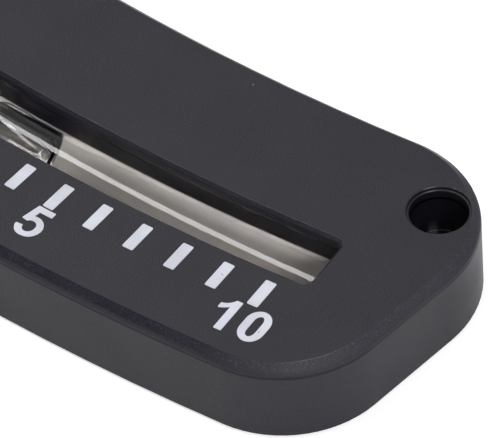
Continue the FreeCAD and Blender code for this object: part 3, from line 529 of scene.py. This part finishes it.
# %% [markdown]
# ## White print
#
# The marks and the numbers are a thin coat of white ink, pressed on. It is matt and nearly even,
# slightly blue, with a few pinholes where the dark plate shows through.

# %% Ink of the scale
INK_DARK, INK_LIGHT = (0.61, 0.63, 0.70, 1), (0.70, 0.72, 0.80, 1)

ink, tree, shader = new_finish("white_print", IOR=1.45)
grain_of = use(tree, grain, Fine_Scale=3800.0, Coarse_Scale=260.0)
holes = ramp(tree, noise(tree, 2600.0, 2.0), 0.22, 0.26, 1.0, 0.0)
white = blend(tree, grain_of["Coarse"], INK_DARK, INK_LIGHT)
feed(tree, shader.inputs["Base Color"], blend(tree, holes, white, grey(0.1)))
feed(tree, shader.inputs["Roughness"], ramp(tree, grain_of["Fine"], 0.0, 1.0, 0.45, 0.65))
bump(tree, shader, grain_of["Fine"], 0.00001, 0.4)
dress(ink, "scale_marks", *[name for name in nodes if name.startswith("numeral_")])

# %% [markdown]
# ## The pale trough behind the glass
#
# The tube lies over a flat-floored trough of black plastic. Its floor is painted off-white, which
# gives the ball a pale ground to stand out from. The paint is matt and a little uneven, and it
# ends on the rounded foot of the sides. Through the bubble, which turns the eye's rays aside, the
# black sides show instead of the floor, so the bubble looks dark.

# %% Off-white paint on black
PAINT_TOP, UNEVEN = 0.0034, 0.0003
PAINT_DARK, PAINT_LIGHT = (0.57, 0.535, 0.51, 1), (0.61, 0.575, 0.55, 1)

pale, tree, shader = new_finish("painted_trough", IOR=1.5)
grain_of = use(tree, grain, Fine_Scale=2600.0, Coarse_Scale=140.0)
z = add(tree, "SeparateXYZ", Vector=add(tree, "TexCoord").outputs["Object"]).outputs["Z"]
wavy = reckon(tree, "MULTIPLY_ADD", grain_of["Coarse"], UNEVEN, z)
bare = ramp(tree, wavy, PAINT_TOP, PAINT_TOP + UNEVEN)
tone = blend(tree, grain_of["Coarse"], PAINT_DARK, PAINT_LIGHT)
feed(tree, shader.inputs["Base Color"], blend(tree, bare, tone, grey(0.085, -0.1)))
feed(tree, shader.inputs["Roughness"], ramp(tree, grain_of["Fine"], 0.0, 1.0, 0.5, 0.7))
bump(tree, shader, grain_of["Fine"], 0.00001, 0.3)
dress(pale, "reflector")

# %% [markdown]
# ## Steel screws
#
# The cover's screws are plated steel. Plating is bright but not a mirror: it has a fine haze and
# a slight yellow or blue from place to place.

# %% Plated steel
YELLOWISH, BLUISH = (0.52, 0.5, 0.44, 1), (0.5, 0.52, 0.56, 1)

plated, tree, shader = new_finish("plated_steel", Metallic=1.0)
grain_of = use(tree, grain, Fine_Scale=6000.0, Coarse_Scale=700.0)
feed(tree, shader.inputs["Base Color"], blend(tree, grain_of["Coarse"], YELLOWISH, BLUISH))
feed(tree, shader.inputs["Roughness"], ramp(tree, grain_of["Fine"], 0.0, 1.0, 0.24, 0.4))
bump(tree, shader, grain_of["Fine"], 0.000005, 0.4)
dress(plated, "cover_screws")

# %% [markdown]
# ## Rubber plugs and foam cushions
#
# The plugs that keep the liquid in are black rubber, dull and a little powdery. The cushions
# behind them are grey foam rubber whose open cells are pits, darkened by painted shade.

# %% Rubber and foam
rubber, tree, shader = new_finish("black_rubber", IOR=1.5)
grain_of = use(tree, grain, Fine_Scale=5000.0, Coarse_Scale=400.0)
feed(tree, shader.inputs["Base Color"], blend(tree, grain_of["Coarse"], grey(0.018), grey(0.035)))
feed(tree, shader.inputs["Roughness"], ramp(tree, grain_of["Fine"], 0.0, 1.0, 0.65, 0.85))
bump(tree, shader, grain_of["Fine"], 0.00001, 0.5)
dress(rubber, "end_plug_left", "end_plug_right")

foam, tree, shader = new_finish("grey_foam", IOR=1.45)
shaded_pits = add(tree, "TexVoronoi", Vector=add(tree, "TexCoord").outputs["Object"], Scale=3200.0)
depth = ramp(tree, shaded_pits.outputs["Distance"], 0.15, 0.55)
# Painted shade: each pit of the foam gets a darker colour.
feed(tree, shader.inputs["Base Color"], blend(tree, depth, grey(0.05), grey(0.22)))
feed(tree, shader.inputs["Roughness"], ramp(tree, depth, 0.0, 1.0, 0.95, 0.8))
bump(tree, shader, depth, 0.00008, 0.8)
dress(foam, "end_cushion_left", "end_cushion_right")

# %% [markdown]
# ## Modelling by hand
#
# Each new piece starts as a primitive at its size and place and is shaped in edit mode. An
# operator acts on all that is selected, so everything is deselected first. Applying the
# transforms leaves the object at the origin, with its place in its mesh.

# %% Start, select and close a piece
MERGE = 1e-7


def start(name):
    """Names the new primitive, puts its place into its mesh and opens it in edit mode."""
    piece = bpy.context.active_object
    piece.name = piece.data.name = name
    bpy.ops.object.transform_apply(location=True, rotation=True, scale=True)
    bpy.ops.object.mode_set(mode="EDIT")
    return piece


def select_vertices(piece, test):
    """In edit mode, selects the vertices whose place passes the test, and what they span."""
    bpy.ops.mesh.select_mode(type="VERT")
    bpy.ops.mesh.select_all(action="DESELECT")
    bm = bmesh.from_edit_mesh(piece.data)
    for vertex in bm.verts:
        vertex.select_set(test(vertex.co))
    bm.select_flush_mode()
    bmesh.update_edit_mesh(piece.data)


def close(piece, angle=40):
    """Leaves edit mode with merged doubles, outward faces and smooth shading."""
    bpy.ops.mesh.select_mode(type="VERT")
    bpy.ops.mesh.select_all(action="SELECT")
    bpy.ops.mesh.remove_doubles(threshold=MERGE)
    bpy.ops.mesh.normals_make_consistent(inside=False)
    bpy.ops.object.mode_set(mode="OBJECT")
    bpy.ops.object.shade_smooth_by_angle(angle=math.radians(angle))
    print(piece.name, "has", len(piece.data.polygons), "faces")


print("tools ready")

# %% [markdown]
# ## A rod bent to the arc
#
# Both the tube and the liquid in it are round rods along the arc, so one helper makes either. It
# sets a disc on end at one end of the arc and spins it about the arc's centre to the other end.
# Then it rounds the edges of both end faces.

# %% Bent rod
END_TOLERANCE = 1e-5


def bent_rod(name, radius, end, steps, sides, lip):
    """A solid round rod along the arc, from -end to end in degrees, with rounded ends."""
    bpy.ops.object.select_all(action="DESELECT")
    bpy.ops.mesh.primitive_circle_add(
        vertices=sides, radius=radius, fill_type="NGON", location=on_arc(end),
        rotation=(math.pi / 2, 0, math.radians(90 + end)),
    )
    rod = start(name)
    bpy.ops.mesh.spin(
        steps=steps, angle=math.radians(2 * end), center=(0, ARC, 0), axis=(0, 0, 1)
    )
    bpy.ops.mesh.select_all(action="SELECT")
    bpy.ops.mesh.normals_make_consistent(inside=False)
    turn = math.radians(end) - END_TOLERANCE
    select_vertices(rod, lambda co: abs(math.atan2(co.x, ARC - co.y)) > turn)
    bpy.ops.mesh.bevel(offset=lip, segments=3, affect="EDGES")
    close(rod)
    return rod


print("rod helper ready")

# %% [markdown]
# ## The glass
#
# Light bends where one clear thing meets another, and how much depends on both. The tube is glass
# outside and touches the liquid inside. So the glass is made as a full rod, and the liquid as a
# thinner rod in it, whose refractive index is given against the glass: 1.46 / 1.47, just under 1.
# The bubble is a closed body of air in the liquid, at 1 / 1.46. No wall is drawn twice, and light
# passes each border once, as in the real tube. The liquid ends a little short of the tube, where
# the plugs begin, and it is thinner than the bore by a hair, to keep the two surfaces apart.

# %% Glass rod and liquid
TUBE_R, TUBE_END = 0.004, 11.324
BORE_R = 0.00265
LIQUID_R, LIQUID_END = 0.00263, 10.814

glass = bent_rod("glass_rod", TUBE_R, TUBE_END, steps=96, sides=96, lip=0.0002)
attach(glass, "housing")
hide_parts("glass_tube")

liquid = bent_rod("liquid_column", LIQUID_R, LIQUID_END, steps=96, sides=64, lip=0.00002)
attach(liquid, "housing")
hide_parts("damping_liquid")

# %% [markdown]
# ## Streaks of drawn glass
#
# Glass tube is drawn out hot, which leaves faint streaks along it. They are noise over three
# measures: the way along the arc, the distance from the arc's centre and the height. The first is
# scaled up far less than the others, so the noise is drawn out along the tube. The liquid and the
# bubble have the same streaks, fainter.

# %% Clear materials
GLASS, LIQUID = 1.47, 1.46
ALONG_SCALE = 15

drawn, given, result = new_group("drawn_streaks", {"Across Scale": 2500.0}, ["Streaks"])
place = add(drawn, "SeparateXYZ", Vector=add(drawn, "TexCoord").outputs["Object"])
from_centre = reckon(drawn, "SUBTRACT", ARC, place.outputs["Y"])
angle = reckon(drawn, "ARCTAN2", place.outputs["X"], from_centre)
along = reckon(drawn, "MULTIPLY", angle, ALONG_SCALE * ARC)
radius = distance(drawn, place.outputs["X"], from_centre)
across = reckon(drawn, "MULTIPLY", radius, given.outputs["Across Scale"])
height = reckon(drawn, "MULTIPLY", place.outputs["Z"], given.outputs["Across Scale"])
lines = add(drawn, "TexNoise", Scale=1.0, Detail=1.0, Vector=add(
    drawn, "CombineXYZ", X=along, Y=across, Z=height
).outputs["Vector"])
feed(drawn, result.inputs["Streaks"], ramp(drawn, lines.outputs["Fac"], 0.3, 0.7))


def clear_finish(name, index, colour, streaks):
    """A clear material with lengthwise streaks, which take a share off its colour."""
    material, tree, shader = new_finish(name, IOR=index, Transmission_Weight=1.0, Roughness=0.0)
    lines = use(tree, drawn, Across_Scale=2500.0)["Streaks"]
    darker = tuple(v * (1 - streaks) for v in colour[:3]) + (1,)
    feed(tree, shader.inputs["Base Color"], blend(tree, lines, colour, darker))
    return material


for rod, name, index, colour, streaks in (
    (glass, "drawn_glass", GLASS, (0.995, 1, 0.995, 1), 0.04),
    (liquid, "damping_oil", LIQUID / GLASS, (0.99, 0.98, 0.975, 1), 0.01),
):
    rod.data.materials.append(clear_finish(name, index, colour, streaks))
    print(name, "with refractive index", round(index, 3))

# %% [markdown]
# ## The bubble
#
# The bubble floats up against the top of the bore, with a thin film of liquid between. Its top
# follows the glass, and its belly is flatter. It starts as a sphere with its poles to the left
# and right. Its two halves are drawn apart, its belly is flattened, and then it is turned and
# moved to its place on the arc. It is so short that it need not bend with the tube.

# %% Air bubble
BUBBLE_AT, BUBBLE_HALF, BUBBLE_R = 2.73, 0.0064, 0.00247
BELLY, FILM = 0.8, 0.00012
BUBBLE_Z = TUBE_Z + BORE_R - BUBBLE_R - FILM
OFF_MIDDLE = 1e-6

bpy.ops.object.select_all(action="DESELECT")
bpy.ops.mesh.primitive_uv_sphere_add(
    segments=64, ring_count=32, radius=BUBBLE_R, location=(0, 0, 0), rotation=(0, math.pi / 2, 0)
)
bubble = start("bubble")
for side in (-1, 1):
    select_vertices(bubble, lambda co: co.x * side > OFF_MIDDLE)
    bpy.ops.transform.translate(value=(side * (BUBBLE_HALF - BUBBLE_R), 0, 0))
select_vertices(bubble, lambda co: co.z < -OFF_MIDDLE)
bpy.ops.transform.resize(value=(1, 1, BELLY), center_override=(0, 0, 0))
bpy.ops.mesh.select_all(action="SELECT")
bpy.ops.transform.rotate(
    value=math.radians(-BUBBLE_AT), orient_axis="Z", center_override=(0, 0, 0)
)
bpy.ops.transform.translate(value=on_arc(BUBBLE_AT, z=BUBBLE_Z))
close(bubble, 60)
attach(bubble, "bubble")
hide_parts("air_bubble")
bubble.data.materials.append(clear_finish("air_in_liquid", 1 / LIQUID, (1, 1, 1, 1), 0.02))
print("bubble from", [round(v, 5) for v in bubble.bound_box[0]])

# %% [markdown]
# ## The ball
#
# The pointer is a polished steel ball. A half circle is spun about its own axis, which gives a
# rounder ball than the mesh of the solid, and the mirror finish needs that. The ball lies just
# above the bottom of the bore, and the thin layer of liquid between keeps their surfaces apart.

# %% Steel ball
BALL_R, BALL_GAP = 0.00235, 0.0001
BALL_Z = TUBE_Z - BORE_R + BALL_R + BALL_GAP

bpy.ops.object.select_all(action="DESELECT")
bpy.ops.mesh.primitive_circle_add(
    vertices=96, radius=BALL_R, location=on_arc(0, z=BALL_Z), rotation=(0, math.pi / 2, 0)
)
ball = start("pointer_ball")
select_vertices(ball, lambda co: co.y < -MERGE)
bpy.ops.mesh.delete(type="VERT")
bpy.ops.mesh.select_all(action="SELECT")
bpy.ops.mesh.spin(steps=96, angle=2 * math.pi, center=on_arc(0, z=BALL_Z), axis=(0, 0, 1))
close(ball, 60)
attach(ball, "ball")
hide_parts("indicator_ball")
steel, tree, shader = new_finish("polished_steel", Metallic=1.0)
grain_of = use(tree, grain, Fine_Scale=5000.0, Coarse_Scale=900.0)
feed(tree, shader.inputs["Base Color"], blend(tree, grain_of["Coarse"], grey(0.58), grey(0.64)))
feed(tree, shader.inputs["Roughness"], ramp(tree, grain_of["Fine"], 0.0, 1.0, 0.04, 0.09))
ball.data.materials.append(steel)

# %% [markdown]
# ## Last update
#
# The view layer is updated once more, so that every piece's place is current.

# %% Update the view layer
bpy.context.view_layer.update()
